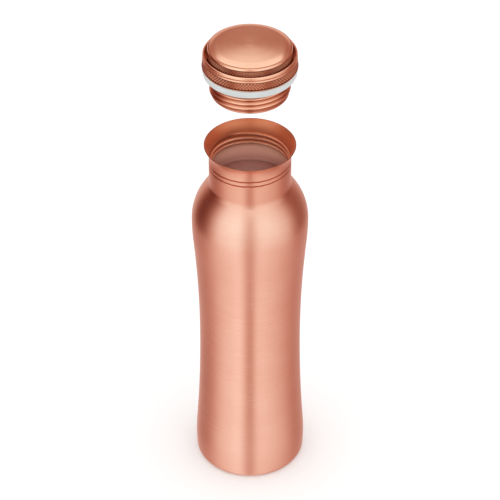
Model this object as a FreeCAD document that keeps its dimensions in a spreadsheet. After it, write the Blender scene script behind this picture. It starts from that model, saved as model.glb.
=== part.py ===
import FreeCAD, Part
import math
import os
import re
import Sketcher

# A copper water bottle with a screw cap, in millimetres, +Z up.
# The origin is the middle of the bottle's resting ring.
# The cap stands open: backed off along its thread, clear of the mouth.
# Heights of the cap's parts are measured from the seal's lower face.

SIZES = [
    # bottle shell
    ("sheet_wall", 0.6, "copper sheet of every pressed part"),
    ("rim_height", 259.0, "mouth rim above the resting surface"),
    ("dish_depth", 1.5, "how far the middle of the base is pushed up"),
    ("dish_radius", 24.0, "flat middle of the base"),
    ("foot_radius", 29.0, "inner edge of the resting ring"),
    ("base_corner", 3.5, "rounding between resting ring and side"),
    ("belly_radius", 37.6, "widest place low on the side"),
    ("belly_height", 13.3, "height of that place"),
    ("belly_arc", 143.3, "arc through that place"),
    ("waist_radius", 34.15, "narrowest place of the side"),
    ("waist_height", 104.8, "height of that place"),
    ("shoulder_radius", 38.45, "widest place below the neck"),
    ("shoulder_height", 200.2, "height of that place"),
    ("flank_arc", 196.6, "arc that rises to that place"),
    ("shoulder_arc", 39.5, "arc from there to the neck"),
    ("neck_radius", 26.8, "outside of the neck"),
    ("neck_fillet", 6.0, "hollow rounding at the foot of the neck"),
    ("flare_arc", 13.5, "arc of the mouth's flare"),
    ("rim_radius", 29.8, "outside of the rim"),
    ("rim_round", 0.25, "rounding of the rim's two edges"),
    # rolled thread, one ridge in the neck and one on the cup
    ("thread_pitch", 3.4, "rise in one turn"),
    ("thread_depth", 1.0, "height of a ridge"),
    ("thread_gap", 0.3, "clearance between a crest and the facing wall"),
    ("root_half", 0.9, "half the width of a ridge at its root"),
    ("crest_half", 0.4, "half the width of a ridge at its crest"),
    ("hollow_half", 0.8, "half the width of the hollow behind a ridge"),
    ("hollow_floor", 0.15, "half the width of that hollow's floor"),
    ("hollow_lag", 5.0, "degrees by which a hollow is shorter at each end"),
    ("sunk_root", 0.3, "depth of a ridge's root inside its wall"),
    ("neck_drop", 17.45, "start of the neck's ridge below the rim"),
    ("neck_turns", 2.35, "turns of the neck's ridge"),
    ("cup_lead", 17.5, "pitches from the neck's ridge up to the cup's, midway when closed"),
    ("cup_turns", 3.0, "turns of the cup's ridge"),
    ("open_turns", 16.3, "turns from closed to where the cap stands"),
    # seal
    ("seal_gap", 0.1, "seal to rim when the cap is closed"),
    ("seal_lower", 29.85, "outside of the seal at its lower face"),
    ("seal_upper", 30.5, "outside of the seal at its upper face"),
    ("seal_rise", 5.0, "height of the seal"),
    ("seal_bore", 25.3, "bore of the seal"),
    ("seal_round", 0.5, "rounding of the seal's outer edges"),
    # threaded cup
    ("cup_depth", 15.5, "closed end of the cup below the seal's lower face"),
    ("cup_corner", 1.6, "rounding of the closed end"),
    ("flange_radius", 29.2, "flanges of the cup and the crown"),
    # collar
    ("collar_lower", 30.5, "outside of the collar at its lower edge"),
    ("collar_upper", 29.9, "outside of the collar below its lip"),
    ("collar_corner", 0.8, "rounding of the lower edge"),
    ("collar_rise", 9.85, "height of the collar"),
    ("collar_bore", 25.2, "hole in the collar's floor"),
    ("lip_round", 0.8, "rounding of the rolled lip"),
    # crown
    ("crown_foot", 27.6, "outside of the crown's wall at its foot"),
    ("crown_edge", 26.9, "outside of the crown's wall at its top"),
    ("crown_rise", 12.98, "top of the wall above the collar's lower edge"),
    ("edge_round", 1.6, "rounding between wall and dome"),
    ("edge_slope", 28.0, "slope where the rounding meets the dome's shoulder, degrees"),
    ("dome_shoulder", 12.0, "arc of the dome's shoulder"),
    ("dome_slope", 4.5, "slope where the shoulder meets the middle of the dome, degrees"),
]

FULL_TURN = 360.0
FLATNESS = 0.001
EDGE_MATCH = 0.02
UP = FreeCAD.Vector(0, 0, 1)
ACROSS = FreeCAD.Vector(1, 0, 0)
SKETCH_UP = FreeCAD.Vector(0, 1, 0)

# where the cap's own frame starts: the seal's lower face
SEAL_FACE = "rim_height + seal_gap + open_turns * thread_pitch"

ALIASES = {alias for alias, value, meaning in SIZES}

document = FreeCAD.newDocument("water_bottle")


def make_sheet():
    """Fill the sheet of driving sizes: meaning, value and alias on each row."""
    sheet = document.addObject("Spreadsheet::Sheet", "sizes")
    for row, (alias, value, meaning) in enumerate(SIZES, start=1):
        sheet.set(f"A{row}", meaning)
        sheet.set(f"B{row}", str(value))
        sheet.setAlias(f"B{row}", alias)
    document.recompute()
    return sheet


def on_sheet(formula):
    """Turn each alias in a formula into a reference to its cell."""
    def refer(match):
        word = match.group(0)
        return f"sizes.{word}" if word in ALIASES else word
    return re.sub(r"[a-z_]+", refer, formula)


def value_of(formula):
    """Work out a formula of aliases with the sheet's present values."""
    result = sheet.evalExpression(on_sheet(formula))
    return float(getattr(result, "Value", result))


def make_body(label, height="0"):
    """Start a body whose own origin stands at a height given as a formula."""
    body = document.addObject("PartDesign::Body", label)
    body.Label = label
    body.setExpression("Placement.Base.z", on_sheet(height))
    return body


def origin_plane(body, role):
    """Return the body's own origin plane with that role."""
    return next(item for item in body.Origin.OriginFeatures if item.Role == role)


class Outline:
    """A closed outline in one sketch of a body, drawn segment by segment.

    A corner is a pair of formulas for radius and height.  The letters after it say which of the
    two are bound to the sheet.  The other one follows from the arc that ends there.
    """

    def __init__(self, body, name, start, turned="0"):
        self.sketch = body.newObject("Sketcher::SketchObject", name)
        self.sketch.AttachmentSupport = (origin_plane(body, "XZ_Plane"), [""])
        self.sketch.MapMode = "FlatFace"
        turn = FreeCAD.Rotation(SKETCH_UP, value_of(turned))
        self.sketch.AttachmentOffset = FreeCAD.Placement(FreeCAD.Vector(), turn)
        self.segments = []
        self.start = start
        self.corner = start

    def point(self, corner):
        """Return a corner as a vector in the sketch."""
        return FreeCAD.Vector(value_of(corner[0]), value_of(corner[1]), 0)

    def bind(self, kind, geometry, place, formula):
        """Hold one coordinate of a point at a formula's value."""
        value = value_of(formula)
        limit = Sketcher.Constraint(kind, -1, 1, geometry, place, value)
        index = self.sketch.addConstraint(limit)
        if re.search("[a-z]", formula):
            self.sketch.setExpression(f"Constraints[{index}]", on_sheet(formula))

    def hold(self, geometry, place, corner, letters):
        """Bind the coordinates that the letters name."""
        if "x" in letters:
            self.bind("DistanceX", geometry, place, corner[0])
        if "y" in letters:
            self.bind("DistanceY", geometry, place, corner[1])

    def add(self, geometry, entry, leave, corner, letters):
        """Add a segment, join it to the last one and bind its far corner."""
        index = self.sketch.addGeometry(geometry, False)
        if self.segments:
            last, _, last_leave = self.segments[-1]
            joint = Sketcher.Constraint("Coincident", last, last_leave, index, entry)
            self.sketch.addConstraint(joint)
        else:
            self.hold(index, entry, self.start, "xy")
        self.segments.append((index, entry, leave))
        self.corner = corner
        if corner != self.start:
            self.hold(index, leave, corner, letters)
        return index

    def line(self, corner, letters="xy"):
        """Draw a straight segment to a corner."""
        segment = Part.LineSegment(self.point(self.corner), self.point(corner))
        self.add(segment, 1, 2, corner, letters)

    def arc(self, centre, corner, letters, clockwise=False):
        """Draw an arc about a bound centre to a corner."""
        middle = self.point(centre)
        first = self.point(self.corner) - middle
        second = self.point(corner) - middle
        ends = [first, second]
        if clockwise:
            ends.reverse()
        angles = [ACROSS.getAngle(end) * (1 if end.y >= 0 else -1) for end in ends]
        circle = Part.Circle(middle, UP, first.Length)
        segment = Part.ArcOfCircle(circle, *angles)
        places = (2, 1) if clockwise else (1, 2)
        index = self.add(segment, *places, corner, letters)
        self.hold(index, 3, centre, "xy")

    def close(self):
        """Draw the straight segment back to the start and return the sketch."""
        self.line(self.start)
        first, entry, _ = self.segments[0]
        last, _, leave = self.segments[-1]
        self.sketch.addConstraint(Sketcher.Constraint("Coincident", last, leave, first, entry))
        document.recompute()
        if not self.sketch.FullyConstrained:
            raise RuntimeError(f"{self.sketch.Name} is not fully constrained")
        return self.sketch


def revolve(body, name, sketch):
    """Turn a sketch about the body's own upright axis."""
    solid = body.newObject("PartDesign::Revolution", name)
    solid.Profile = sketch
    solid.ReferenceAxis = (sketch, ["V_Axis"])
    solid.Angle = FULL_TURN
    document.recompute()
    return solid


def flat_face(solid, height):
    """Name the level face of a solid at a height in its own frame."""
    for number, face in enumerate(solid.Shape.Faces, start=1):
        box = face.BoundBox
        if box.ZLength < FLATNESS and abs(box.ZMin - height) < FLATNESS:
            return f"Face{number}"
    raise RuntimeError(f"{solid.Name} has no level face at {height}")


def round_edges(body, name, solid, rings, radius):
    """Round the full circles of a solid that are given as (radius, height)."""
    names = []
    for number, edge in enumerate(solid.Shape.Edges, start=1):
        if not isinstance(edge.Curve, Part.Circle):
            continue
        found = (edge.Curve.Radius, edge.Curve.Center.z)
        if any(math.dist(found, ring) < EDGE_MATCH for ring in rings):
            names.append(f"Edge{number}")
    if len(names) != len(rings):
        raise RuntimeError(f"{name} found {len(names)} of {len(rings)} edges")
    fillet = body.newObject("PartDesign::Fillet", name)
    fillet.Base = (solid, names)
    fillet.setExpression("Radius", on_sheet(radius))
    document.recompute()
    return fillet


def hollow_out(body, name, solid, open_height):
    """Leave a shell of the sheet's thickness, open at one level face."""
    full = solid.Shape.Volume
    shell = body.newObject("PartDesign::Thickness", name)
    shell.Base = (solid, [flat_face(solid, open_height)])
    shell.setExpression("Value", on_sheet("sheet_wall"))
    shell.Reversed = True
    document.recompute()
    if not 0 < shell.Shape.Volume < full:
        raise RuntimeError(f"{name} did not hollow its solid")
    return shell


def helix(body, kind, name, near, far, near_half, far_half, start, turns, turned="0"):
    """Sweep a four-sided section, from radius near to radius far, along the thread."""
    outline = Outline(body, name + "_section", (near, f"{start} - {near_half}"), turned)
    outline.line((far, f"{start} - {far_half}"))
    outline.line((far, f"{start} + {far_half}"))
    outline.line((near, f"{start} + {near_half}"))
    sketch = outline.close()
    before = body.Tip.Shape.Volume
    sweep = body.newObject(f"PartDesign::{kind}Helix", name)
    sweep.Profile = sketch
    sweep.ReferenceAxis = (sketch, ["V_Axis"])
    sweep.Mode = "pitch-turns-angle"
    sweep.setExpression("Pitch", on_sheet("thread_pitch"))
    sweep.setExpression("Turns", on_sheet(turns))
    sweep.Angle = 0
    sweep.LeftHanded = False
    document.recompute()
    grown = sweep.Shape.Volume - before
    if (grown > 0) != (kind == "Additive"):
        raise RuntimeError(f"{name} changed the volume by {grown}")
    return sweep


def roll_thread(body, name, face, back, side, start, turns):
    """Roll a ridge onto a wall's face, with the hollow it leaves in the wall's back.

    side is + when the ridge stands outwards and - when it stands inwards.
    """
    other = "-" if side == "+" else "+"
    helix(body, "Additive", name + "_ridge",
          f"{face} {other} sunk_root", f"{face} {side} thread_depth",
          "root_half", "crest_half", start, turns)
    helix(body, "Subtractive", name + "_hollow",
          f"{back} {other} sunk_root", f"{back} {side} thread_depth",
          "hollow_half", "hollow_floor",
          f"{start} + thread_pitch * hollow_lag / {FULL_TURN}",
          f"{turns} - 2 * hollow_lag / {FULL_TURN}", "hollow_lag")


def make_bottle():
    """Seamless shell: dished base, waisted side, round shoulder, threaded neck and flared mouth."""
    body = make_body("bottle_body")

    corner_out = ("sqrt((belly_arc - base_corner)^2 - (belly_height - base_corner)^2)"
                  " - belly_arc + belly_radius")
    corner_top = "belly_height - belly_arc * (belly_height - base_corner) / (belly_arc - base_corner)"
    lower_fall = "(belly_radius - waist_radius)"
    lower_run = "(waist_height - belly_height)"
    lower_sum = f"(({lower_fall}^2 + {lower_run}^2) / (2 * {lower_fall}))"
    upper_fall = "(shoulder_radius - waist_radius)"
    upper_run = "(shoulder_height - waist_height)"
    upper_sum = f"(({upper_fall}^2 + {upper_run}^2) / (2 * {upper_fall}))"
    neck_reach = "(neck_radius + neck_fillet - shoulder_radius + shoulder_arc)"
    neck_climb = f"sqrt((shoulder_arc + neck_fillet)^2 - {neck_reach}^2)"
    flare_foot = "rim_height - sqrt(flare_arc^2 - (flare_arc - rim_radius + neck_radius)^2)"

    outline = Outline(body, "shell_outline", ("0", "dish_depth"))
    outline.line(("dish_radius", "dish_depth"))
    outline.line(("foot_radius", "0"))
    outline.line((corner_out, "0"))
    outline.arc((corner_out, "base_corner"),
                (f"belly_radius - belly_arc + ({corner_out} + belly_arc - belly_radius)"
                 " * belly_arc / (belly_arc - base_corner)", corner_top), "y")
    outline.arc(("belly_radius - belly_arc", "belly_height"),
                (f"belly_radius - belly_arc + belly_arc * ({lower_sum} - {lower_fall}) / {lower_sum}",
                 f"belly_height + belly_arc * {lower_run} / {lower_sum}"), "y")
    outline.arc((f"waist_radius + {lower_sum} - belly_arc", "waist_height"),
                ("waist_radius", "waist_height"), "y", clockwise=True)
    outline.arc((f"waist_radius + {upper_sum} - flank_arc", "waist_height"),
                (f"shoulder_radius - flank_arc + flank_arc * ({upper_sum} - {upper_fall}) / {upper_sum}",
                 f"shoulder_height - flank_arc * {upper_run} / {upper_sum}"), "y", clockwise=True)
    outline.arc(("shoulder_radius - flank_arc", "shoulder_height"),
                ("shoulder_radius", "shoulder_height"), "y")
    outline.arc(("shoulder_radius - shoulder_arc", "shoulder_height"),
                (f"shoulder_radius - shoulder_arc"
                 f" + shoulder_arc * {neck_reach} / (shoulder_arc + neck_fillet)",
                 f"shoulder_height + shoulder_arc * {neck_climb} / (shoulder_arc + neck_fillet)"), "y")
    outline.arc(("neck_radius + neck_fillet", f"shoulder_height + {neck_climb}"),
                ("neck_radius", f"shoulder_height + {neck_climb}"), "y", clockwise=True)
    outline.line(("neck_radius", flare_foot))
    outline.arc(("neck_radius + flare_arc", flare_foot),
                ("rim_radius", "rim_height"), "y", clockwise=True)
    outline.line(("0", "rim_height"))
    solid = revolve(body, "shell_solid", outline.close())

    shell = hollow_out(body, "shell_wall", solid, value_of("rim_height"))
    inner_rim = value_of("neck_radius + flare_arc"
                         " - sqrt((flare_arc + sheet_wall)^2"
                         " - flare_arc^2 + (flare_arc - rim_radius + neck_radius)^2)")
    rim = value_of("rim_height")
    rings = [(value_of("rim_radius"), rim), (inner_rim, rim)]
    round_edges(body, "rim_edges", shell, rings, "rim_round")

    roll_thread(body, "neck", "neck_radius - sheet_wall", "neck_radius", "-",
                "rim_height - neck_drop", "neck_turns")
    return body


def make_seal():
    """Moulded silicone ring that the collar presses onto the rim."""
    body = make_body("seal_ring", SEAL_FACE)
    outline = Outline(body, "seal_outline", ("seal_bore", "0"))
    outline.line(("seal_lower", "0"))
    outline.line(("seal_upper", "seal_rise"))
    outline.line(("seal_bore", "seal_rise"))
    ring = revolve(body, "seal_solid", outline.close())
    rings = [(value_of("seal_lower"), 0.0), (value_of("seal_upper"), value_of("seal_rise"))]
    round_edges(body, "seal_edges", ring, rings, "seal_round")
    return body


def make_cup():
    """Pressed cup that carries the cap's thread, with a flange that the collar grips."""
    body = make_body("thread_cup", SEAL_FACE)
    wall = "neck_radius - sheet_wall - thread_depth - thread_gap"
    top = "seal_rise + 2 * sheet_wall"

    outline = Outline(body, "cup_outline", ("0", "-cup_depth"))
    outline.line((f"{wall} - cup_corner", "-cup_depth"))
    outline.arc((f"{wall} - cup_corner", "cup_corner - cup_depth"),
                (wall, "cup_corner - cup_depth"), "y")
    outline.line((wall, top))
    outline.line(("0", top))
    solid = revolve(body, "cup_solid", outline.close())
    hollow_out(body, "cup_wall", solid, value_of(top))

    flange = Outline(body, "cup_flange_outline", (f"{wall} - sheet_wall / 2", "seal_rise + sheet_wall"))
    flange.line(("flange_radius", "seal_rise + sheet_wall"))
    flange.line(("flange_radius", top))
    flange.line((f"{wall} - sheet_wall / 2", top))
    revolve(body, "cup_flange", flange.close())

    roll_thread(body, "cup", wall, f"{wall} - sheet_wall", "+",
                "cup_lead * thread_pitch - neck_drop - seal_gap - open_turns * thread_pitch",
                "cup_turns")
    return body


def make_collar():
    """Rolled ring: a floor under the cup's flange, an outer wall, a round lip and an inner wall."""
    body = make_body("cap_collar", SEAL_FACE)
    floor = "seal_rise"
    lip = "seal_rise + collar_rise - lip_round"
    foot = "seal_rise + 3 * sheet_wall"
    inside = "collar_upper - 2 * lip_round"
    corner = "collar_lower - collar_corner"
    lip_middle = "collar_upper - lip_round"

    outline = Outline(body, "collar_outline", ("collar_bore", floor))
    outline.line((corner, floor))
    outline.arc((corner, f"{floor} + collar_corner"), ("collar_lower", f"{floor} + collar_corner"), "y")
    outline.line(("collar_upper", lip))
    outline.arc((lip_middle, lip), (inside, lip), "y")
    outline.line((inside, foot))
    outline.line((f"{inside} + sheet_wall", foot))
    outline.line((f"{inside} + sheet_wall", lip))
    outline.arc((lip_middle, lip), ("collar_upper - sheet_wall", lip), "y", clockwise=True)
    outline.line(("collar_lower - sheet_wall", f"{floor} + collar_corner"))
    outline.arc((corner, f"{floor} + collar_corner"), (corner, f"{floor} + sheet_wall"),
                "x", clockwise=True)
    outline.line(("collar_bore", f"{floor} + sheet_wall"))
    revolve(body, "collar_ring", outline.close())
    return body


def make_crown():
    """Pressed top of the cap: a low dome on a slightly tapered wall with a flange at its foot."""
    body = make_body("cap_crown", SEAL_FACE)
    foot = "seal_rise + 2 * sheet_wall"
    edge = "seal_rise + crown_rise"
    round_out = "crown_edge - edge_round"
    shoulder_out = f"({round_out} + (edge_round - dome_shoulder) * sin(edge_slope))"
    shoulder_up = f"({edge} + (edge_round - dome_shoulder) * cos(edge_slope))"
    dome_start = f"({shoulder_out} + dome_shoulder * sin(dome_slope))"
    dome_arc = f"({dome_start} / sin(dome_slope))"
    dome_up = f"({shoulder_up} + (dome_shoulder - {dome_arc}) * cos(dome_slope))"
    inner_round = "(edge_round - sheet_wall)"
    inner_shoulder = "(dome_shoulder - sheet_wall)"

    outline = Outline(body, "crown_outline", ("flange_radius", foot))
    outline.line(("flange_radius", f"{foot} + sheet_wall"))
    outline.line(("crown_foot", f"{foot} + sheet_wall"))
    outline.line(("crown_edge", edge))
    outline.arc((round_out, edge),
                (f"{round_out} + edge_round * sin(edge_slope)",
                 f"{edge} + edge_round * cos(edge_slope)"), "x")
    outline.arc((shoulder_out, shoulder_up),
                (dome_start, f"{shoulder_up} + dome_shoulder * cos(dome_slope)"), "x")
    outline.arc(("0", dome_up), ("0", f"{dome_up} + {dome_arc}"), "x")
    outline.line(("0", f"{dome_up} + {dome_arc} - sheet_wall"))
    outline.arc(("0", dome_up),
                (f"{shoulder_out} + {inner_shoulder} * sin(dome_slope)",
                 f"{shoulder_up} + {inner_shoulder} * cos(dome_slope)"), "x", clockwise=True)
    outline.arc((shoulder_out, shoulder_up),
                (f"{round_out} + {inner_round} * sin(edge_slope)",
                 f"{edge} + {inner_round} * cos(edge_slope)"), "x", clockwise=True)
    outline.arc((round_out, edge), ("crown_edge - sheet_wall", edge), "y", clockwise=True)
    outline.line(("crown_foot - sheet_wall", foot))
    revolve(body, "crown_shell", outline.close())
    return body


def check_and_write(bodies):
    """Stop on any failed feature, then write one file for each sub-part."""
    for item in document.Objects:
        if "Invalid" in item.State or "Error" in item.State:
            raise RuntimeError(f"{item.Name} failed: {item.State}")
    for body in bodies:
        shape = body.Shape
        if shape.isNull() or not shape.isValid() or len(shape.Solids) != 1:
            raise RuntimeError(f"{body.Label} is not one valid solid")
    os.makedirs("parts", exist_ok=True)
    for body in bodies:
        body.Shape.exportStep(f"parts/{body.Label}.step")
        print(f"{body.Label}: {body.Shape.Volume:.0f} mm3 of material")


sheet = make_sheet()
parts = [make_bottle(), make_seal(), make_cup(), make_collar(), make_crown()]
document.recompute()
check_and_write(parts)
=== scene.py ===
import math

import bmesh
import bpy
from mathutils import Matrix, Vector


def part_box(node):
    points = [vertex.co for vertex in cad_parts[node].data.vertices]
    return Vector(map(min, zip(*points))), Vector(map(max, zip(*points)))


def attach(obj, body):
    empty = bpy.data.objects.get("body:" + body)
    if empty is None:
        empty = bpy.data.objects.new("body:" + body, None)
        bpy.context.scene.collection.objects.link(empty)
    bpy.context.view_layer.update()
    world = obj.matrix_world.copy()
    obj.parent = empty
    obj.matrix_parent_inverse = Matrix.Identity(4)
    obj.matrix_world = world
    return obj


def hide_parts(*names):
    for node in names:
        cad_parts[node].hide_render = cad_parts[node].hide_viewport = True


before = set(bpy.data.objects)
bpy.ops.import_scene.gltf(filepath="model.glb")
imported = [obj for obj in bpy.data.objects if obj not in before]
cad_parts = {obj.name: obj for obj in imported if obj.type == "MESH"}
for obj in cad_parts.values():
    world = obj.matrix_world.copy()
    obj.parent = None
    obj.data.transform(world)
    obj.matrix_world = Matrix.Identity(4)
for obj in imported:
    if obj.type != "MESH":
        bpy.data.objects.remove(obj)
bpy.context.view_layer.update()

MM = 0.001
TURN = 2 * math.pi

# ---------------------------------------------------------------- sizes shared by the pieces

WALL = 0.6 * MM
NECK_RADIUS = 26.8 * MM
THREAD_PITCH = 3.4 * MM
THREAD_DEPTH = 1.0 * MM
THREAD_GAP = 0.3 * MM
CREST_HALF = 0.35 * MM
ROOT_HALF = 0.9 * MM
# how much slimmer a ridge's hollow is than the ridge, on each side
HOLLOW_SLIMMER = 0.15 * MM
CUP_CREST_HALF = 0.0
CUP_ROOT_HALF = 1.5 * MM
FADE_TURNS = 0.12
NECK_TURNS = 2.35
NECK_DROP = 17.45 * MM
CUP_TURNS = 3.0
# pitches from the start of the neck's ridge up to the start of the cup's
CUP_LEAD = 17.5

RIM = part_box("bottle_body")[1].z
SHOULDER_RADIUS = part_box("bottle_body")[1].x
SEAL_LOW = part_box("seal_ring")[0].z
SEAL_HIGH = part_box("seal_ring")[1].z
LIP_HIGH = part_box("cap_collar")[1].z
CUP_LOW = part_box("thread_cup")[0].z
CUP_RADIUS = NECK_RADIUS - WALL - THREAD_DEPTH - THREAD_GAP
# the flanges of the cup and crown, which lie on each other inside the collar
FLANGE_RADIUS = 29.2 * MM

# points round a ring of the bottle or cup, and round one of the seal
SHELL_SEGMENTS = 256
SEAL_SEGMENTS = 192
# points closer than this are one point, and rings narrower than this are a point on the axis
SAME_POINT = 1e-7
ON_AXIS = 1e-6
# edges sharper than this, in degrees, stay sharp, on smooth pieces and on knurled ones
CREASE = 35.0
KNURL_CREASE = 20.0


# ---------------------------------------------------------------- camera

CAMERA_LENS = 168.5
CAMERA_DISTANCE = 1.5602
CAMERA_ELEVATION = math.radians(37.86)
LOOK_AT = Vector((0, 0, 0.1726))
SENSOR_WIDTH = 36
CLIP = (0.05, 50)


def aim(thing, target, elevation, distance):
    """Put a camera or light in front of a point and above it, facing the point."""
    back = Vector((0, -math.cos(elevation), math.sin(elevation)))
    thing.location = target + back * distance
    thing.rotation_mode = "QUATERNION"
    thing.rotation_quaternion = (-back).to_track_quat("-Z", "Y")
    bpy.context.scene.collection.objects.link(thing)


def make_camera():
    """A long lens, in front of the bottle and well above it."""
    data = bpy.data.cameras.new("camera")
    data.lens = CAMERA_LENS
    data.sensor_width = SENSOR_WIDTH
    data.clip_start, data.clip_end = CLIP
    camera = bpy.data.objects.new("camera", data)
    aim(camera, LOOK_AT, CAMERA_ELEVATION, CAMERA_DISTANCE)
    bpy.context.scene.camera = camera


# ---------------------------------------------------------------- node helpers

class Nodes:
    """Short calls for building one node tree."""

    def __init__(self, tree):
        self.tree = tree
        tree.nodes.clear()

    def add(self, kind, **settings):
        """Add a node and set its own properties."""
        node = self.tree.nodes.new(kind)
        for key, value in settings.items():
            setattr(node, key, value)
        return node

    def feed(self, socket, value):
        """Link an output to a socket, or set the socket's own value."""
        if isinstance(value, bpy.types.NodeSocket):
            self.tree.links.new(value, socket)
        else:
            socket.default_value = value

    def math(self, operation, *values):
        """A Math node's result."""
        node = self.add("ShaderNodeMath", operation=operation)
        for socket, value in zip(node.inputs, values):
            self.feed(socket, value)
        return node.outputs[0]

    def remap(self, value, low, high, to_low, to_high):
        """A smooth map from one range to another."""
        node = self.add("ShaderNodeMapRange", interpolation_type="SMOOTHSTEP")
        for socket, number in zip(node.inputs, (value, low, high, to_low, to_high)):
            self.feed(socket, number)
        return node.outputs[0]

    def mix(self, factor, first, second, blend="MIX"):
        """A colour mix."""
        node = self.add("ShaderNodeMix", data_type="RGBA", blend_type=blend)
        self.feed(node.inputs["Factor"], factor)
        self.feed(node.inputs[6], first)
        self.feed(node.inputs[7], second)
        return node.outputs[2]

    def blend(self, factor, first, second):
        """A mix of two plain values."""
        node = self.add("ShaderNodeMix", data_type="FLOAT")
        for number, value in ((0, factor), (2, first), (3, second)):
            self.feed(node.inputs[number], value)
        return node.outputs[0]

    def value(self, attribute):
        """A value that the mesh carries at its points, 0 where it carries none."""
        return self.add("ShaderNodeAttribute", attribute_name=attribute).outputs["Fac"]

    def colours(self, value, stops, interpolation="LINEAR"):
        """A colour ramp through (place, colour) stops."""
        node = self.add("ShaderNodeValToRGB")
        node.color_ramp.interpolation = interpolation
        points = node.color_ramp.elements
        points.remove(points[1])
        for number, (place, colour) in enumerate(stops):
            point = points[0] if number == 0 else points.new(place)
            point.position = place
            point.color = colour
        self.feed(node.inputs[0], value)
        return node.outputs[0]

    def noise(self, place, scale, detail, roughness):
        """A noise value, about 0.5 on average."""
        node = self.add("ShaderNodeTexNoise")
        self.feed(node.inputs["Vector"], place)
        self.feed(node.inputs["Scale"], scale)
        self.feed(node.inputs["Detail"], detail)
        self.feed(node.inputs["Roughness"], roughness)
        return node.outputs["Fac"]

    def combine(self, x, y, z):
        """A vector from three values."""
        node = self.add("ShaderNodeCombineXYZ")
        for socket, value in zip(node.inputs, (x, y, z)):
            self.feed(socket, value)
        return node.outputs[0]

    def split(self, vector):
        """The three values of a vector."""
        node = self.add("ShaderNodeSeparateXYZ")
        self.feed(node.inputs[0], vector)
        return node.outputs

    def show(self, kind, shader):
        """End the tree with a material's or a world's output node."""
        node = self.add(kind)
        self.feed(node.inputs["Surface"], shader.outputs[0])


def new_material(name):
    """A material and the nodes of its empty tree."""
    material = bpy.data.materials.new(name)
    material.use_nodes = True
    return material, Nodes(material.node_tree)


# ---------------------------------------------------------------- stage and light

# brightness of the light tent by azimuth, in degrees: 0 is behind the camera, + is to its right.
# The tent is soft and even near the table. Higher up, its two rear sides are dark.
TENT_LOW = [(-180, 0.72), (-160, 0.69), (-140, 0.60), (-118, 0.55), (-100, 0.60), (-80, 0.72),
            (-60, 0.82), (-40, 0.88), (-24, 0.95), (-14, 0.80), (-6, 0.60), (0, 0.54), (6, 0.62),
            (14, 0.84), (24, 0.87), (40, 0.82), (60, 0.75), (80, 0.65), (100, 0.57), (118, 0.54),
            (140, 0.58), (160, 0.66), (180, 0.72)]
TENT_HIGH = [(-180, 0.66), (-160, 0.66), (-140, 0.53), (-122, 0.19), (-100, 0.16), (-84, 0.38),
             (-64, 0.82), (-40, 0.95), (-24, 0.98), (-14, 0.88), (-6, 0.70), (0, 0.62), (6, 0.70),
             (14, 0.88), (24, 0.93), (40, 0.90), (60, 0.82), (80, 0.66), (98, 0.35), (120, 0.29),
             (140, 0.44), (160, 0.62), (180, 0.66)]
TENT_BRIGHTNESS = 1.19
# elevations, in degrees, between which the low tent gives way to the high one
TENT_TURNS_DARK = (-38, -24)
# the tent is this many times as bright at the top of its rise, between two elevations in degrees
TENT_RISES, TENT_RISE = 1.09, (-20, 45)
# the dim wall behind the bottle: its tone, and the elevations in degrees and the azimuths in radians
# over which it sets in
BACK_TONE, BACK_EDGE, BACK_SIDES = 0.42, (15, 24), (2.1, 2.7)
# the ceiling: its tone, its edge as the sine of the elevation, and how fast the edge rises sideways
CEILING_TONE, CEILING_EDGE, CEILING_NARROWS = 1.16, (0.55, 0.63), 0.31
# dim parts of the tent are warmer: green and blue fall faster than red
GREEN_POWER, BLUE_POWER = 1.85, 2.1
# the table's glow, seen only in downward reflections
TABLE_GLOW = (1.0, 0.87, 0.86, 1)
# light on everything that isn't a mirror image
FILL = 1.15
FLOOR_TONE = 0.98
FLOOR_SIZE = 12.0
MOUTH_LIGHT_SIZE = 1.0
MOUTH_LIGHT_POWER = 40.0
MOUTH_LIGHT_DISTANCE = 2.2
MOUTH_LIGHT_ELEVATION = math.radians(41)


def around(nodes, share, stops):
    """Brightness by azimuth, from (degrees, tone) stops and a share of the full turn."""
    places = [(degrees / 360 + 0.5, (tone, tone, tone, 1)) for degrees, tone in stops]
    return nodes.colours(share, places, "CARDINAL")


def radians(pair):
    """Two angles in radians."""
    return [math.radians(angle) for angle in pair]


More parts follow.
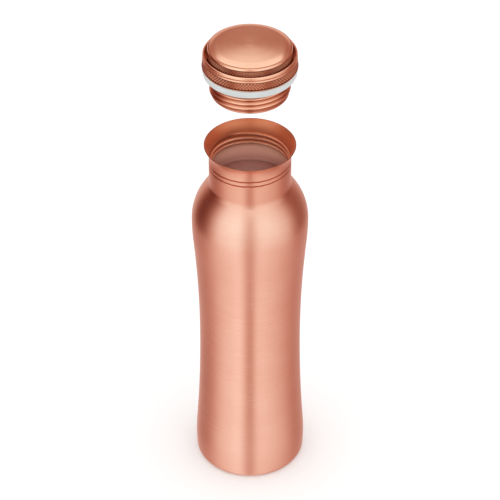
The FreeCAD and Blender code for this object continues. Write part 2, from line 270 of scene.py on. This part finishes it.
def make_world():
    """A white light tent whose sides darken towards its seams, and a bright ceiling."""
    world = bpy.data.worlds.new("tent")
    bpy.context.scene.world = world
    world.use_nodes = True
    nodes = Nodes(world.node_tree)
    direction = nodes.add("ShaderNodeTexCoord").outputs["Generated"]
    x, y, z = nodes.split(direction)
    azimuth = nodes.math("ARCTAN2", x, nodes.math("MULTIPLY", y, -1.0))
    share = nodes.math("ADD", nodes.math("DIVIDE", azimuth, TURN), 0.5)
    elevation = nodes.math("ARCSINE", z)
    raised = nodes.remap(elevation, *radians(TENT_TURNS_DARK), 0.0, 1.0)
    side = nodes.mix(raised, around(nodes, share, TENT_LOW), around(nodes, share, TENT_HIGH))
    gain = nodes.remap(elevation, *radians(TENT_RISE), TENT_BRIGHTNESS, TENT_BRIGHTNESS * TENT_RISES)
    behind = nodes.remap(nodes.math("ABSOLUTE", azimuth), *BACK_SIDES, 0.0, 1.0)
    back = nodes.math("MULTIPLY", behind, nodes.remap(elevation, *radians(BACK_EDGE), 0.0, 1.0))
    side = nodes.blend(back, nodes.math("MULTIPLY", side, gain), BACK_TONE)
    narrowing = nodes.math("MULTIPLY", nodes.math("ABSOLUTE", x), CEILING_NARROWS)
    height = nodes.math("SUBTRACT", z, narrowing)
    tone = nodes.blend(nodes.remap(height, *CEILING_EDGE, 0.0, 1.0), side, CEILING_TONE)
    green = nodes.math("POWER", tone, GREEN_POWER)
    warm = nodes.combine(tone, green, nodes.math("POWER", tone, BLUE_POWER))
    glow = nodes.mix(raised, TABLE_GLOW, (1, 1, 1, 1))
    studio = nodes.add("ShaderNodeBackground")
    nodes.feed(studio.inputs["Color"], nodes.mix(1.0, warm, glow, "MULTIPLY"))
    fill = nodes.add("ShaderNodeBackground")
    nodes.feed(fill.inputs["Color"], (FILL, FILL, FILL, 1))
    paths = nodes.add("ShaderNodeLightPath")
    choose = nodes.add("ShaderNodeMixShader")
    nodes.feed(choose.inputs[0], paths.outputs["Is Glossy Ray"])
    nodes.feed(choose.inputs[1], fill.outputs[0])
    nodes.feed(choose.inputs[2], studio.outputs[0])
    nodes.show("ShaderNodeOutputWorld", choose)


def make_mouth_light(bottle):
    """A large soft light above the camera, which reaches in through the mouth."""
    data = bpy.data.lights.new("mouth_light", "AREA")
    data.shape = "DISK"
    data.size = MOUTH_LIGHT_SIZE
    data.energy = MOUTH_LIGHT_POWER
    light = bpy.data.objects.new("mouth_light", data)
    aim(light, Vector((0, 0, RIM)), MOUTH_LIGHT_ELEVATION, MOUTH_LIGHT_DISTANCE)
    light.visible_camera = False
    light.visible_glossy = False
    lit = bpy.data.collections.new("lit_through_mouth")
    lit.objects.link(bottle)
    light.light_linking.receiver_collection = lit


def make_floor():
    """A plain pale floor that the copper doesn't mirror."""
    half = FLOOR_SIZE / 2
    corners = [(-half, -half, 0), (half, -half, 0), (half, half, 0), (-half, half, 0)]
    mesh = bpy.data.meshes.new("floor")
    mesh.from_pydata(corners, [], [(0, 1, 2, 3)])
    floor = bpy.data.objects.new("floor", mesh)
    bpy.context.scene.collection.objects.link(floor)
    floor.visible_glossy = False
    material, nodes = new_material("pale_floor")
    shader = nodes.add("ShaderNodeBsdfDiffuse")
    nodes.feed(shader.inputs["Color"], (FLOOR_TONE, FLOOR_TONE, FLOOR_TONE, 1))
    nodes.show("ShaderNodeOutputMaterial", shader)
    mesh.materials.append(material)


# ---------------------------------------------------------------- materials

# the shell's and the cap's copper: pale colour, deep colour, roughness, anisotropy
SHELL_LOOK = (0.90, 0.53, 0.40, 1), (0.82, 0.42, 0.30, 1), 0.30, 0.6
CAP_LOOK = (0.93, 0.51, 0.345, 1), (0.82, 0.39, 0.245, 1), 0.20, 0.3
# painted shade: what it leaves of copper's colour, from none to the bottom of a hollow
SHADE_TONES = [(0.0, (1, 1, 1, 1)), (0.5, (0.80, 0.52, 0.43, 1)), (1.0, (0.12, 0.05, 0.03, 1))]
# painted shade at the bottom of a hollow or root, beside the inner ridges, on the edge of the rim
# and round the neck
GROOVE_SHADE = 0.7
ROOT_SHADE = 0.72
INNER_RIDGE_SHADE = 0.72
RIM_SHADE = 0.7
NECK_SHADE = 0.2
NOTCH_SHADE = 0.65
# the neck's painted shade sets in upwards between these depths below the rim
NECK_SHADE_DEPTHS = (43.0 * MM, 28.0 * MM)
# the inner face's colour at depths below the rim, with painted light and shade in it: grey and matte
# up to the thread, redder above; a pale patch deep down, a dark band at the neck's foot and bright
# thread crests are painted
INNER_TONE_AND_PAINTED_LIGHT = [(44.0 * MM, (0.82, 0.44, 0.36, 1)), (38.0 * MM, (1.0, 0.50, 0.41, 1)),
              (34.0 * MM, (1.0, 0.66, 0.54, 1)), (31.3 * MM, (0.74, 0.38, 0.31, 1)),
              (28.5 * MM, (0.45, 0.20, 0.16, 1)), (23.5 * MM, (0.59, 0.30, 0.225, 1)),
              (19.5 * MM, (0.56, 0.28, 0.20, 1)), (17.5 * MM, (1.0, 0.55, 0.37, 1)),
              (11.0 * MM, (1.0, 0.52, 0.32, 1)), (8.0 * MM, (0.72, 0.24, 0.115, 1))]
# it is fully matte below the first depth and keeps a share of that above the second
MATTE_EDGE = (20.5 * MM, 17.8 * MM)
MATTE_ABOVE = 0.2
MATTE_METALLIC = 0.25
MATTE_ROUGHER = 0.12
# lathe lines: cells per metre across the bottle, cells per metre along its section, roughness
FINE_LINES = (20.0, 3400.0, 0.5)
BROAD_LINES = (4.0, 460.0, 0.4)
# the section's length counts as height less this share of the radius
RADIUS_SHARE = 0.8
LINES_BUMP, LINES_HEIGHT, BROAD_HEIGHT = 0.2, 0.01 * MM, 0.4
# patches in the copper: cells per metre, detail, roughness
CLOUD = (38.0, 3.0, 0.55)
SMUDGE = (11.0, 2.0, 0.5)
GRAIN = (620.0, 3.0, 0.7)
# how far each pattern pulls the pale colour to the deep one
CLOUD_TINT, BROAD_TINT, FINE_TINT, GRAIN_TINT = 0.30, 0.16, 0.10, 0.16
# what the fine lines and the smudges add to the roughness, lowest and highest
FINE_SHINE, SMUDGE_SHINE = (-0.03, 0.03), (-0.02, 0.03)
# the part of a noise's values that is stretched over the whole range
SOFT, FIRM, WIDE = (0.3, 0.7), (0.35, 0.65), (0.25, 0.75)
# a quarter turn draws highlights out along the axis, across the lathe lines
ACROSS_LINES = 0.25
# the seal: its mottling and grain, as for the copper's patches
MOTTLING = (120.0, 3.0, 0.6)
MOULD_GRAIN = (2600.0, 2.0, 0.5)
MOULD_BUMP, MOULD_HEIGHT = 0.3, 0.03 * MM
SILICONE_ROUGHNESS = (0.42, 0.55)
SCATTER_SHARE, SCATTER_REACH, SCATTER_SCALE = 0.25, (0.6, 0.8, 0.9), 1.5 * MM
PALE_SILICONE = (0.62, 0.65, 0.64, 1)
DUSTY_SILICONE = (0.57, 0.60, 0.59, 1)


def copper(name, pale, deep, roughness, anisotropy):
    """Satin copper, finished on a lathe: fine lines run round the axis everywhere.

    A mesh may carry two values for each point. The first paints shade: it is 1 in hollows and roots,
    and "inside" is 1 on the bottle's inner face, which is matte below the neck's thread and only
    slightly matte above it, and whose colour carries painted light and shade by depth.
    """
    material, nodes = new_material(name)
    place = nodes.add("ShaderNodeTexCoord").outputs["Object"]
    x, y, z = nodes.split(place)
    square = nodes.math("ADD", nodes.math("MULTIPLY", x, x), nodes.math("MULTIPLY", y, y))
    radius = nodes.math("SQRT", square)
    # a coordinate that runs along every section of the bottle, on walls and on flat faces alike
    along = nodes.math("SUBTRACT", z, nodes.math("MULTIPLY", radius, RADIUS_SHARE))

    def lines(across_cells, along_cells, line_roughness):
        """Noise drawn out round the axis."""
        spread = nodes.combine(nodes.math("MULTIPLY", x, across_cells),
                               nodes.math("MULTIPLY", y, across_cells),
                               nodes.math("MULTIPLY", along, along_cells))
        return nodes.noise(spread, scale=1.0, detail=1.0, roughness=line_roughness)

    fine = lines(*FINE_LINES)
    broad = lines(*BROAD_LINES)
    cloud = nodes.noise(place, *CLOUD)
    smudge = nodes.noise(place, *SMUDGE)
    grain = nodes.noise(place, *GRAIN)

    tone = nodes.mix(nodes.remap(cloud, *SOFT, 0.0, CLOUD_TINT), pale, deep)
    tone = nodes.mix(nodes.remap(broad, *SOFT, 0.0, BROAD_TINT), tone, deep)
    tone = nodes.mix(nodes.remap(fine, *SOFT, 0.0, FINE_TINT), tone, deep)
    tone = nodes.mix(nodes.remap(grain, *FIRM, 0.0, GRAIN_TINT), tone, deep)
    inside = nodes.value("inside")
    matte_edge = [RIM - depth for depth in MATTE_EDGE]
    matte = nodes.math("MULTIPLY", inside, nodes.remap(z, *matte_edge, 1.0, MATTE_ABOVE))
    # painted light and shade on the inner face: its colour is set by depth below the rim
    lowest, highest = INNER_TONE_AND_PAINTED_LIGHT[0][0], INNER_TONE_AND_PAINTED_LIGHT[-1][0]
    rise = nodes.math("DIVIDE", nodes.math("SUBTRACT", z, RIM - lowest), lowest - highest)
    stops = [((lowest - depth) / (lowest - highest), colour) for depth, colour in INNER_TONE_AND_PAINTED_LIGHT]
    tone = nodes.mix(inside, tone, nodes.colours(rise, stops))
    # painted shade: the copper is darkened by the mesh's shade value
    tone = nodes.mix(1.0, tone, nodes.colours(nodes.value("painted_shade"), SHADE_TONES), "MULTIPLY")

    fine_shine = [roughness + change for change in FINE_SHINE]
    shine = nodes.remap(fine, *WIDE, *fine_shine)
    shine = nodes.math("ADD", shine, nodes.remap(smudge, *SOFT, *SMUDGE_SHINE))
    rougher = nodes.math("MULTIPLY", nodes.math("ADD", inside, matte), MATTE_ROUGHER)
    shine = nodes.math("ADD", shine, rougher)
    bump = nodes.add("ShaderNodeBump")
    nodes.feed(bump.inputs["Strength"], LINES_BUMP)
    nodes.feed(bump.inputs["Distance"], LINES_HEIGHT)
    height = nodes.math("ADD", fine, nodes.math("MULTIPLY", broad, BROAD_HEIGHT))
    nodes.feed(bump.inputs["Height"], height)

    shader = nodes.add("ShaderNodeBsdfPrincipled")
    nodes.feed(shader.inputs["Base Color"], tone)
    nodes.feed(shader.inputs["Metallic"], nodes.blend(matte, 1.0, MATTE_METALLIC))
    nodes.feed(shader.inputs["Roughness"], shine)
    nodes.feed(shader.inputs["Anisotropic"], anisotropy)
    nodes.feed(shader.inputs["Anisotropic Rotation"], ACROSS_LINES)
    nodes.feed(shader.inputs["Normal"], bump.outputs[0])
    tangent = nodes.add("ShaderNodeTangent", direction_type="RADIAL", axis="Z")
    nodes.feed(shader.inputs["Tangent"], tangent.outputs[0])
    nodes.show("ShaderNodeOutputMaterial", shader)
    return material


def silicone(name):
    """White moulded silicone, slightly see-through at its edges, with faint dust and mottling."""
    material, nodes = new_material(name)
    place = nodes.add("ShaderNodeTexCoord").outputs["Object"]
    mottling = nodes.noise(place, *MOTTLING)
    grain = nodes.noise(place, *MOULD_GRAIN)
    tone = nodes.mix(nodes.remap(mottling, *SOFT, 0.0, 1.0), PALE_SILICONE, DUSTY_SILICONE)
    bump = nodes.add("ShaderNodeBump")
    nodes.feed(bump.inputs["Strength"], MOULD_BUMP)
    nodes.feed(bump.inputs["Distance"], MOULD_HEIGHT)
    nodes.feed(bump.inputs["Height"], grain)
    shader = nodes.add("ShaderNodeBsdfPrincipled")
    nodes.feed(shader.inputs["Base Color"], tone)
    nodes.feed(shader.inputs["Roughness"], nodes.remap(mottling, *SOFT, *SILICONE_ROUGHNESS))
    nodes.feed(shader.inputs["Subsurface Weight"], SCATTER_SHARE)
    nodes.feed(shader.inputs["Subsurface Radius"], SCATTER_REACH)
    nodes.feed(shader.inputs["Subsurface Scale"], SCATTER_SCALE)
    nodes.feed(shader.inputs["Normal"], bump.outputs[0])
    nodes.show("ShaderNodeOutputMaterial", shader)
    return material


# ---------------------------------------------------------------- turned meshes

def arc(centre, radius, start, end, steps):
    """Points of an arc in the section plane, from one angle to another, in degrees."""
    points = []
    for step in range(steps + 1):
        angle = math.radians(start + (end - start) * step / steps)
        points.append((centre[0] + radius * math.cos(angle), centre[1] + radius * math.sin(angle)))
    return points


def join(*stretches):
    """Put stretches of a section one after another, dropping points that repeat."""
    points = []
    for stretch in stretches:
        for point in stretch:
            if not points or math.dist(points[-1], point) > SAME_POINT:
                points.append(point)
    return points


def straight(start, end, steps):
    """Points along a straight stretch."""
    return [(start[0] + (end[0] - start[0]) * step / steps,
             start[1] + (end[1] - start[1]) * step / steps) for step in range(steps + 1)]


def set_in(points, depth):
    """The same section moved to its left by a depth: the sheet's other face."""
    moved = []
    for number, (r, z) in enumerate(points):
        before = points[max(number - 1, 0)]
        after = points[min(number + 1, len(points) - 1)]
        across, up = after[0] - before[0], after[1] - before[1]
        length = math.hypot(across, up)
        moved.append((max(r - up / length * depth, 0.0), z + across / length * depth))
    return moved


def smooth(value):
    """0 below 0, 1 above 1, and an even curve between."""
    value = min(max(value, 0.0), 1.0)
    return value * value * (3 - 2 * value)


class Ridge:
    """A rolled thread: how far a wall is pushed at an angle and height."""

    def __init__(self, pitch, start, turns, depth, crest, root, fade):
        self.pitch, self.start, self.turns = pitch, start, turns
        self.depth, self.crest, self.root, self.fade = depth, crest, root, fade

    def push(self, angle, z, narrower=0.0):
        """Depth of the push. narrower makes the hollow on the sheet's other face slimmer."""
        share = (angle / TURN) % 1.0
        first = math.floor((z - self.start) / self.pitch - share)
        best = 0.0
        for lap in (first, first + 1):
            climbed = lap + share
            ends = min(climbed, self.turns - climbed)
            if ends <= 0:
                continue
            away = abs(z - self.start - climbed * self.pitch)
            crest, root = self.crest - narrower, self.root - narrower
            here = smooth((root - away) / (root - crest)) * smooth(ends / self.fade)
            best = max(best, here)
        return best * self.depth


def turned_mesh(name, rings, closed):
    """A mesh from rings of points. A ring of one point closes it on the axis.

    A point is (x, y, z, shade), and that painted shade is stored as a value at the mesh's point.
    """
    points, faces, starts = [], [], []
    for ring in rings:
        starts.append(len(points))
        points.extend(ring)
    pairs = list(zip(range(len(rings)), range(1, len(rings))))
    if closed:
        pairs.append((len(rings) - 1, 0))
    for low, high in pairs:
        count = max(len(rings[low]), len(rings[high]))
        if count == 1:
            continue
        for number in range(count):
            following = (number + 1) % count
            if len(rings[low]) == 1:
                face = (starts[low], starts[high] + following, starts[high] + number)
            elif len(rings[high]) == 1:
                face = (starts[low] + number, starts[low] + following, starts[high])
            else:
                face = (starts[low] + number, starts[low] + following,
                        starts[high] + following, starts[high] + number)
            faces.append(face)
    mesh = bpy.data.meshes.new(name)
    mesh.from_pydata([point[:3] for point in points], [], faces)
    mark(mesh, "painted_shade", [point[3] for point in points])
    return mesh


def mark(mesh, name, values):
    """Store a value at each point of a mesh."""
    stored = mesh.attributes.new(name, "FLOAT", "POINT")
    for item, value in zip(stored.data, values):
        item.value = value


def turned(radius, angle, z, painted_shade):
    """A ring's point at an angle, with its painted shade."""
    return radius * math.cos(angle), radius * math.sin(angle), z, painted_shade


def ring_of(count, r, z, push=None):
    """One ring of points. push(angle, z) gives what is added to the radius, and the painted shade.
    """
    if r < ON_AXIS:
        return [(0.0, 0.0, z, 0.0)]
    ring = []
    for number in range(count):
        angle = TURN * number / count
        added, painted_shade = push(angle, z) if push else (0.0, 0.0)
        ring.append(turned(r + added, angle, z, painted_shade))
    return ring


def add_piece(name, mesh, material, body, nodes, creased=CREASE):
    """Put a mesh in the scene in place of its CAD node."""
    mesh.materials.append(material)
    mesh.validate()
    for face in mesh.polygons:
        face.use_smooth = True
    mesh.set_sharp_from_angle(angle=math.radians(creased))
    piece = bpy.data.objects.new(name, mesh)
    bpy.context.scene.collection.objects.link(piece)
    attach(piece, body)
    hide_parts(*nodes)
    return piece


# ---------------------------------------------------------------- bottle

def s_curve(wide, narrow, arc_radius, steps):
    """An S from an upright tangent at its wide end to one at its narrow end.

    wide and narrow are (radius, height). The arc at the wide end has the given radius.
    """
    fall = wide[0] - narrow[0]
    run = narrow[1] - wide[1]
    total = (fall * fall + run * run) / (2 * fall)
    lean = math.degrees(math.asin(run / total))
    first = arc((wide[0] - arc_radius, wide[1]), arc_radius, 0, lean, steps)
    other = total - arc_radius
    second = arc((narrow[0] + other, narrow[1]), other, 180 + lean, 180, steps)
    return join(first, second)


def bottle_section():
    """The shell's outside, from the middle of the base to the rim."""
    dish_depth, dish_radius, foot_radius = 1.5 * MM, 24 * MM, 29 * MM
    corner = 3.5 * MM
    belly, belly_arc = (37.6 * MM, 13.3 * MM), 143.3 * MM
    waist = (34.15 * MM, 104.8 * MM)
    shoulder, flank_arc, shoulder_arc = (SHOULDER_RADIUS, 200.2 * MM), 196.6 * MM, 39.5 * MM
    neck_fillet, flare, rim_radius = 6 * MM, 13.5 * MM, 29.8 * MM

    dish = straight((0, dish_depth), (dish_radius, dish_depth), 6)
    slope = [(r, dish_depth * (1 - smooth(share)))
             for r, share in straight((dish_radius, 0), (foot_radius, 1), 10)]
    reach = belly_arc - corner
    corner_r = math.sqrt(reach ** 2 - (belly[1] - corner) ** 2) - belly_arc + belly[0]
    base_lean = math.degrees(math.asin((belly[1] - corner) / reach))
    foot = straight((foot_radius, 0), (corner_r, 0), 4)
    base_arc = arc((corner_r, corner), corner, -90, -base_lean, 8)
    low_belly = arc((belly[0] - belly_arc, belly[1]), belly_arc, -base_lean, 0, 5)
    lower = s_curve(belly, waist, belly_arc, 22)
    upper = s_curve(shoulder, waist, flank_arc, 22)[::-1]
    middle = (shoulder[0] - shoulder_arc, shoulder[1])
    side = NECK_RADIUS + neck_fillet - middle[0]
    climb = math.sqrt((shoulder_arc + neck_fillet) ** 2 - side ** 2)
    top_lean = math.degrees(math.atan2(climb, side))
    neck_foot = middle[1] + climb
    top = arc(middle, shoulder_arc, 0, top_lean, 26)
    fillet = arc((NECK_RADIUS + neck_fillet, neck_foot), neck_fillet, 180 + top_lean, 180, 12)
    # the rounded rim's highest point is at RIM, and its middle is half a sheet lower
    flare_lean = math.acos((flare - (rim_radius - NECK_RADIUS)) / flare)
    flare_foot = RIM - WALL / 2 * (1 + math.sin(flare_lean)) - flare * math.sin(flare_lean)
    neck = straight((NECK_RADIUS, neck_foot), (NECK_RADIUS, flare_foot), 150)
    mouth = arc((NECK_RADIUS + flare, flare_foot), flare, 180, 180 - math.degrees(flare_lean), 12)
    return join(dish, slope, foot, base_arc, low_belly, lower, upper, top, fillet, neck, mouth)


def make_bottle(material):
    """One shell: its outside, a rounded rim and its inside, with the thread rolled through both."""
    outside = bottle_section()
    inside = set_in(outside, WALL)
    end, back = outside[-1], inside[-1]
    middle = ((end[0] + back[0]) / 2, (end[1] + back[1]) / 2)
    facing = math.degrees(math.atan2(end[1] - middle[1], end[0] - middle[0]))
    rim = arc(middle, WALL / 2, facing, facing + 180, 6)[1:-1]
    thread = Ridge(THREAD_PITCH, RIM - NECK_DROP, NECK_TURNS, THREAD_DEPTH,
                   CREST_HALF, ROOT_HALF, FADE_TURNS)

    neck_shade_low, neck_shade_high = [RIM - depth for depth in NECK_SHADE_DEPTHS]
    thread_half = NECK_TURNS * THREAD_PITCH / 2
    thread_middle = thread.start + thread_half

    def outer(angle, z):
        """The thread's hollow in the outside with painted shade in it, and painted shade on the
        neck.
        """
        push = thread.push(angle, z, HOLLOW_SLIMMER)
        # painted shade on the neck, rising upwards
        neck_shade = NECK_SHADE * smooth((z - neck_shade_low) / (neck_shade_high - neck_shade_low))
        # painted shade in the hollow, by its depth
        return -push, max(GROOVE_SHADE * push / THREAD_DEPTH, neck_shade)

    def edge(angle, z):
        """The rim keeps its shape and takes painted shade."""
        return 0.0, RIM_SHADE

    def inner(angle, z):
        """The thread's ridge on the inside, with painted shade beside it."""
        push = thread.push(angle, z)
        near = smooth((thread_half + ROOT_HALF - abs(z - thread_middle)) / THREAD_DEPTH)
        return -push, INNER_RIDGE_SHADE * near * (1 - push / THREAD_DEPTH)

    low = thread.start - THREAD_PITCH
    rings = [ring_of(SHELL_SEGMENTS, r, z, outer if z > neck_shade_low else None) for r, z in outside]
    rings += [ring_of(SHELL_SEGMENTS, r, z, edge) for r, z in rim]
    rings += [ring_of(SHELL_SEGMENTS, r, z, inner if z > low else None)
              for r, z in reversed(inside)]
    mesh = turned_mesh("bottle_shell", rings, closed=False)
    inner_from = len(outside) + len(rim) / 2
    mark(mesh, "inside", [float(number >= inner_from)
                          for number, ring in enumerate(rings) for point in ring])
    return add_piece("bottle_shell", mesh, material, "bottle", ["bottle_body"])


# ---------------------------------------------------------------- seal

def make_seal(material):
    """A moulded ring with soft corners and a fine parting line round its outside."""
    bore, low_radius, high_radius = 25.3 * MM, 29.85 * MM, 30.45 * MM
    soft = 0.5 * MM
    # how far out and up the parting line's points are from the middle of the outside
    parting = [(-0.02 * MM, -0.2 * MM), (0.05 * MM, 0.0), (0.03 * MM, 0.2 * MM)]
    half = (SEAL_LOW + SEAL_HIGH) / 2
    middle_radius = (low_radius + high_radius) / 2
    section = join(
        straight((bore + soft / 2, SEAL_LOW), (low_radius - soft, SEAL_LOW), 3),
        arc((low_radius - soft, SEAL_LOW + soft), soft, -90, 0, 5),
        [(middle_radius + out, half + up) for out, up in parting],
        arc((high_radius - soft, SEAL_HIGH - soft), soft, 0, 90, 5),
        straight((high_radius - soft, SEAL_HIGH), (bore + soft / 2, SEAL_HIGH), 3),
        arc((bore + soft / 2, SEAL_HIGH - soft / 2), soft / 2, 90, 180, 3),
        arc((bore + soft / 2, SEAL_LOW + soft / 2), soft / 2, 180, 270, 3)[:-1],
    )
    rings = [ring_of(SEAL_SEGMENTS, r, z) for r, z in section]
    mesh = turned_mesh("silicone_seal", rings, closed=True)
    add_piece("silicone_seal", mesh, material, "seal", ["seal_ring"])


# ---------------------------------------------------------------- cap

def make_cup(material):
    """The threaded cup: closed below, threaded outside, with a flange above."""
    corner, flat_radius = 1.6 * MM, 0.9 * CUP_RADIUS
    flange_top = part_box("thread_cup")[1].z
    start = RIM - NECK_DROP + CUP_LEAD * THREAD_PITCH
    outside = join(
        straight((0, CUP_LOW), (flat_radius, CUP_LOW), 5),
        arc((CUP_RADIUS - corner, CUP_LOW + corner), corner, -90, 0, 8),
        straight((CUP_RADIUS, CUP_LOW + corner), (CUP_RADIUS, SEAL_LOW), 120),
        straight((CUP_RADIUS, SEAL_LOW), (CUP_RADIUS, flange_top - 2 * WALL), 4),
        arc((CUP_RADIUS + WALL, flange_top - 2 * WALL), WALL, 180, 90, 4),
        [(FLANGE_RADIUS, flange_top - WALL)],
    )
    inside = set_in(outside, WALL)
    thread = Ridge(THREAD_PITCH, start, CUP_TURNS, THREAD_DEPTH,
                   CUP_CREST_HALF, CUP_ROOT_HALF, FADE_TURNS)

    def outer(angle, z):
        """The thread's ridge on the outside, with painted shade in its roots."""
        push = thread.push(angle, z)
        return push, ROOT_SHADE * (1 - push / THREAD_DEPTH)

    def inner(angle, z):
        """The thread's hollow on the inside."""
        return thread.push(angle, z, HOLLOW_SLIMMER), 0.0

    low = CUP_LOW + corner
    rings = [ring_of(SHELL_SEGMENTS, r, z, outer if low < z < SEAL_LOW else None)
             for r, z in outside]
    rings += [ring_of(SHELL_SEGMENTS, r, z, inner if low < z < SEAL_LOW else None)
              for r, z in reversed(inside)]
    mesh = turned_mesh("threaded_cup", rings, closed=False)
    add_piece("threaded_cup", mesh, material, "cap", ["thread_cup"])


TEETH = 92
KNURL_SEGMENTS = 2 * TEETH
KNURL_DEPTH = 0.42 * MM
COLLAR_ROWS = 5
CROWN_ROWS = 6
NOTCH_DEPTH = 0.5 * MM


def knurl_rings(low, high, rows):
    """Rings of a diamond knurl between two section points: pyramids between crossing grooves."""
    rings = []
    for row in range(rows + 1):
        share = row / rows
        r = low[0] + (high[0] - low[0]) * share
        z = low[1] + (high[1] - low[1]) * share
        ring = []
        for number in range(KNURL_SEGMENTS):
            angle = TURN * number / KNURL_SEGMENTS
            peak = (number + row) % 2 == 1 and 0 < row < rows
            # the grooves between the teeth take full painted shade
            radius, painted_shade = (r, 0.0) if peak else (r - KNURL_DEPTH, 1.0)
            ring.append(turned(radius, angle, z, painted_shade))
        rings.append(ring)
    return rings


def notch_rings(low, middle, high):
    """Three rings whose middle one is cut by a row of small notches."""
    r, z = middle
    ring = []
    for number in range(KNURL_SEGMENTS):
        angle = TURN * number / KNURL_SEGMENTS
        # the notches take full painted shade, and the ring between them part of it
        radius, painted_shade = (r - NOTCH_DEPTH, 1.0) if number % 2 else (r, NOTCH_SHADE)
        ring.append(turned(radius, angle, z, painted_shade))
    return [ring_of(KNURL_SEGMENTS, *low), ring, ring_of(KNURL_SEGMENTS, *high)]


def plain_rings(*stretches):
    """Rings without a knurl, with as many points as the knurled ones."""
    return [ring_of(KNURL_SEGMENTS, r, z) for r, z in join(*stretches)]


def split_knurl(mesh):
    """Cut each knurl face along the groove that crosses it, so that every tooth is a pyramid."""
    # faces bent less than this are not part of a knurl
    least_bend = 0.3 * KNURL_DEPTH
    work = bmesh.new()
    work.from_mesh(mesh)
    for face in list(work.faces):
        if len(face.verts) != 4:
            continue
        radii = [math.hypot(corner.co.x, corner.co.y) for corner in face.verts]
        first = radii[0] + radii[2]
        second = radii[1] + radii[3]
        if abs(first - second) < least_bend:
            continue
        ends = (0, 2) if first < second else (1, 3)
        bmesh.utils.face_split(face, face.verts[ends[0]], face.verts[ends[1]])
    work.to_mesh(mesh)
    work.free()


def make_collar(material):
    """The knurled ring: floor, outer wall with its knurl, notch row and rolled lip, inner wall."""
    bore, low_radius, high_radius = 25.2 * MM, 30.5 * MM, 29.9 * MM
    corner, lip = 0.8 * MM, 0.8 * MM
    bore_flat, inner_flat = 2 * MM, 2 * MM
    floor = SEAL_HIGH
    knurl_low, knurl_high = floor + 0.9 * MM, floor + 6.3 * MM
    notch, notch_half, gap = floor + 7.75 * MM, 0.48 * MM, 0.12 * MM
    lip_middle = (high_radius - lip, LIP_HIGH - lip)
    inner = high_radius - 2 * lip
    foot = floor + 3 * WALL

    def on_wall(z):
        """The outer wall's point at a height."""
        share = (z - floor - corner) / (LIP_HIGH - lip - floor - corner)
        return low_radius + (high_radius - low_radius) * min(max(share, 0), 1), z

    rings = plain_rings(
        [(bore, floor), (bore + bore_flat, floor), (low_radius - corner, floor)],
        arc((low_radius - corner, floor + corner), corner, -90, 0, 5))
    rings += knurl_rings(on_wall(knurl_low), on_wall(knurl_high), COLLAR_ROWS)
    rings += plain_rings([on_wall(knurl_high + gap), on_wall(notch - notch_half - gap)])
    rings += notch_rings(on_wall(notch - notch_half), on_wall(notch), on_wall(notch + notch_half))
    rings += plain_rings(
        arc(lip_middle, lip, 0, 180, 14),
        [(inner, lip_middle[1] - inner_flat), (inner, foot), (inner + WALL, foot)],
        [(inner + WALL, lip_middle[1] - inner_flat)],
        arc(lip_middle, lip - WALL, 180, 0, 6),
        [(low_radius - WALL, floor + corner)],
        arc((low_radius - corner, floor + corner), corner - WALL, 0, -90, 3),
        [(bore + bore_flat, floor + WALL), (bore, floor + WALL)])
    mesh = turned_mesh("knurled_collar", rings, closed=True)
    split_knurl(mesh)
    add_piece("knurled_collar", mesh, material, "cap", ["cap_collar"], KNURL_CREASE)


def make_crown(material):
    """The top: knurled wall, round edge with its notch row, shoulder and low dome."""
    foot_radius, edge_radius = 27.6 * MM, 26.9 * MM
    edge_round, shoulder_arc = 1.6 * MM, 12 * MM
    edge_slope, dome_slope = math.radians(28), math.radians(4.5)
    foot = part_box("cap_crown")[0].z
    edge = SEAL_HIGH + 12.98 * MM
    knurl_low, knurl_high = edge - 6.9 * MM, edge - 0.3 * MM

    def on_wall(z):
        """The outer wall's point at a height."""
        share = (z - foot) / (edge - foot)
        return foot_radius + (edge_radius - foot_radius) * min(max(share, 0), 1), z

    def top_of(inward):
        """Edge, shoulder and dome, moved inwards by a sheet or not at all."""
        middle = (edge_radius - edge_round, edge)
        first = arc(middle, edge_round - inward, 0, 90 - math.degrees(edge_slope), 10)
        reach = edge_round - shoulder_arc
        middle = (middle[0] + reach * math.sin(edge_slope), edge + reach * math.cos(edge_slope))
        second = arc(middle, shoulder_arc - inward,
                     90 - math.degrees(edge_slope), 90 - math.degrees(dome_slope), 10)
        dome = (middle[0] + shoulder_arc * math.sin(dome_slope)) / math.sin(dome_slope)
        up = middle[1] + (shoulder_arc - dome) * math.cos(dome_slope)
        third = arc((0, up), dome - inward, 90 - math.degrees(dome_slope), 90, 14)
        return first, second, third

    first, second, third = top_of(0.0)
    rings = plain_rings([(FLANGE_RADIUS, foot), (FLANGE_RADIUS, foot + WALL), on_wall(foot + WALL)])
    rings += knurl_rings(on_wall(knurl_low), on_wall(knurl_high), CROWN_ROWS)
    # the notches are cut where the edge's round stretch ends and the shoulder starts
    rings += plain_rings(first[:-3])
    rings += notch_rings(first[-3], first[-1], second[1])
    rings += plain_rings(second[2:], third)
    first, second, third = top_of(WALL)
    rings += plain_rings(third[::-1], second[::-1], first[::-1], [(foot_radius - WALL, foot)])
    mesh = turned_mesh("knurled_crown", rings, closed=True)
    split_knurl(mesh)
    add_piece("knurled_crown", mesh, material, "cap", ["cap_crown"], KNURL_CREASE)


# ---------------------------------------------------------------- scene

make_camera()
make_world()
make_floor()
view = bpy.context.scene.view_settings
view.view_transform = "Standard"
view.look = "None"

shell_copper = copper("shell_copper", *SHELL_LOOK)
cap_copper = copper("cap_copper", *CAP_LOOK)
make_mouth_light(make_bottle(shell_copper))
make_seal(silicone("white_silicone"))
make_cup(cap_copper)
make_collar(cap_copper)
make_crown(cap_copper)
